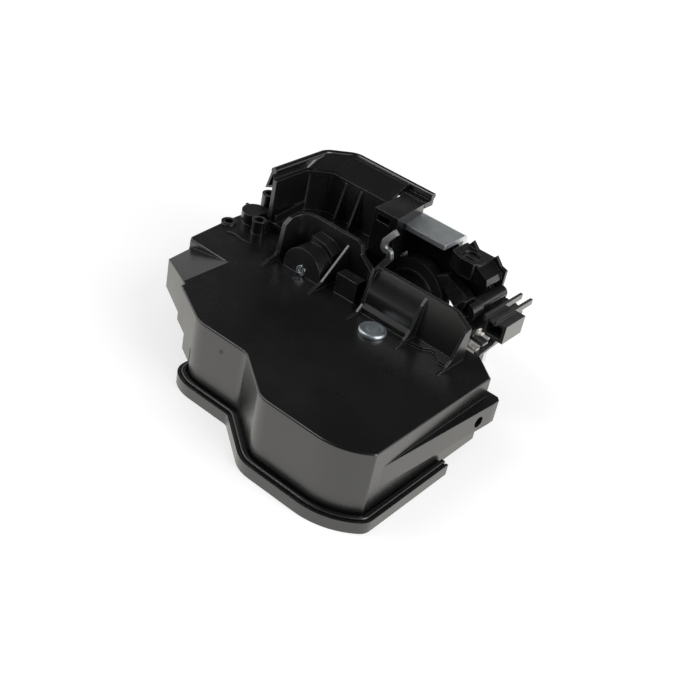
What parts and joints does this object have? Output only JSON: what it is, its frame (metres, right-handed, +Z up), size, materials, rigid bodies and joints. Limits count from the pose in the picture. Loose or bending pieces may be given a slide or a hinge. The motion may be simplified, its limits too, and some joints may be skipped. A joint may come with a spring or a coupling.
{
  "type": "door_latch_actuator",
  "caption": "Car door latch actuator: skirted plastic drive housing with ribs and niche, forked catch, pawl, levers, motor gear train and steel latch plate on the shut face",
  "frame": {"origin": "Middle of the striker's seat with the door shut, on the outer face of the steel latch plate.", "axes": "+Y points out of the shut face, +Z up through the flat deck of the housing, +X to the wiring socket's side. The striker comes in along +Z."},
  "size_m": [0.1514, 0.1415, 0.0644],
  "materials": {
    "housing_plastic": "semi-gloss black moulding",
    "soft_plastic": "smooth black overmould",
    "gear_plastic": "natural acetal",
    "zinc_steel": "zinc plated",
    "hard_steel": "ground steel",
    "motor_can": "drawn steel can",
    "spring_steel": "oiled wire",
    "rubber": "matt",
    "brass": "tinned brass"
  },
  "bodies": {
    "housing": {"main_housing": "housing_plastic", "bottom_cover": "housing_plastic", "side_cover": "housing_plastic", "latch_frame": "housing_plastic", "rear_shield": "housing_plastic", "connector_shroud": "housing_plastic", "cable_guide": "housing_plastic", "cover_screws": "zinc_steel", "niche_screw": "zinc_steel", "latch_plate": "zinc_steel", "connector_pins": "brass", "catch_pin": "hard_steel", "pawl_pin": "hard_steel", "catch_spring": "spring_steel", "striker_buffer": "rubber", "pivot_pin": "zinc_steel", "wheel_axle": "hard_steel", "motor": "motor_can"},
    "catch": {"catch_core": "hard_steel", "catch_cover": "soft_plastic"},
    "pawl": {"pawl": "hard_steel"},
    "release": {"release_lever": "zinc_steel"},
    "inside": {"inside_lever": "zinc_steel"},
    "key": {"key_nut": "gear_plastic"},
    "lock": {"lock_lever": "gear_plastic"},
    "wheel": {"worm_wheel": "gear_plastic"},
    "worm": {"worm": "gear_plastic", "motor_shaft": "hard_steel"}
  },
  "joints": [
    {"name": "catch_turn", "type": "hinge", "parent": "housing", "child": "catch", "pos_m": [-0.013, -0.011, 0], "axis": [0, -1, 0], "range_deg": [0, 65], "stiffness_Nm_per_rad": 0.02},
    {"name": "pawl_lift", "type": "hinge", "parent": "housing", "child": "pawl", "pos_m": [0.017, -0.011, 0.007], "axis": [0, 1, 0], "range_deg": [0, 15]},
    {"name": "release_turn", "type": "hinge", "parent": "housing", "child": "release", "pos_m": [-0.013, -0.035, 0], "axis": [0, 1, 0], "range_deg": [0, 18]},
    {"name": "inside_turn", "type": "hinge", "parent": "housing", "child": "inside", "pos_m": [0.0044, -0.066, 0.0052], "axis": [0, 0, 1], "range_deg": [0, 16], "stiffness_Nm_per_rad": 0.02},
    {"name": "key_turn", "type": "hinge", "parent": "housing", "child": "key", "pos_m": [0.0101, -0.011, 0.027], "axis": [0, 0, 1], "range_deg": [-60, 60], "stiffness_Nm_per_rad": 0.005},
    {"name": "wheel_turn", "type": "hinge", "parent": "housing", "child": "wheel", "pos_m": [-0.00994, -0.08648, -0.0045], "axis": [0, 0, 1], "range_deg": [-144, 0]},
    {"name": "lock_turn", "type": "hinge", "parent": "housing", "child": "lock", "pos_m": [0.0044, -0.066, 0.001], "axis": [0, 0, 1], "range_deg": [0, 36]},
    {"name": "worm_turn", "type": "hinge", "parent": "housing", "child": "worm", "pos_m": [-0.00994, -0.10428, -0.0045], "axis": [1, 0, 0], "continuous": true}
  ],
  "couplings": [
    {"joint": "pawl_lift", "follows": "inside_turn", "ratio": 0.9375},
    {"joint": "release_turn", "follows": "inside_turn", "ratio": 1.125},
    {"joint": "lock_turn", "follows": "wheel_turn", "ratio": -0.25},
    {"joint": "worm_turn", "follows": "wheel_turn", "ratio": 32}
  ]
}
